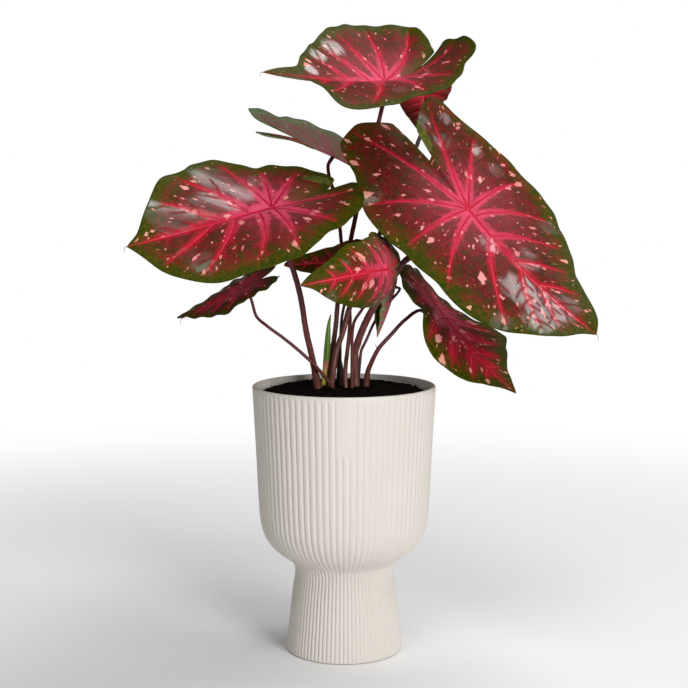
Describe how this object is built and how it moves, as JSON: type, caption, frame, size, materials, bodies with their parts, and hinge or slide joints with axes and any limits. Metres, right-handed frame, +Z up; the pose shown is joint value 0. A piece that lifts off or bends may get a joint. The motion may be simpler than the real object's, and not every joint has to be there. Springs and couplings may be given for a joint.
{
  "type": "potted caladium",
  "caption": "Caladium with arrow-shaped red and green speckled leaves on slender dark stalks, growing from a ribbed pedestal pot of pale greige plastic.",
  "frame": {"origin": "centre of the pot's flat underside", "axes": "+Z up along the pot's axis, -Y towards the front of the plant, +X to its right"},
  "size_m": [0.331, 0.2699, 0.4829],
  "materials": {
    "pot": "smooth matt moulded plastic, warm light greige",
    "soil": "moist crumbly potting mix, almost black",
    "tuber": "rough brown corky skin",
    "sheath": "dry, dark brown old leaf sheath",
    "spear": "smooth young leaf, green above, pink and yellow at its foot",
    "leaf": "satin leaf, crimson veins on maroon with green edges and salmon flecks",
    "leaf_dark": "satin dark maroon leaf",
    "leaf_pale": "matt grey-green leaf underside with pink veins",
    "stalk": "smooth satin dark maroon stalk"
  },
  "bodies": {
    "root": {"pot": "pot", "soil": "soil", "tuber": "tuber", "sheath": "sheath", "spear": "spear", "blade_top": "leaf", "blade_left": "leaf", "blade_right": "leaf", "blade_pale": "leaf_pale", "blade_centre": "leaf", "blade_low_left": "leaf", "blade_low_right": "leaf", "blade_back_centre": "leaf_dark", "blade_hanging": "leaf_dark", "blade_back_top": "leaf", "stalk_top": "stalk", "stalk_left": "stalk", "stalk_right": "stalk", "stalk_pale": "stalk", "stalk_centre": "stalk", "stalk_low_left": "stalk", "stalk_low_right": "stalk", "stalk_back_centre": "stalk", "stalk_hanging": "stalk", "stalk_back_top": "stalk"}
  },
  "joints": []
}
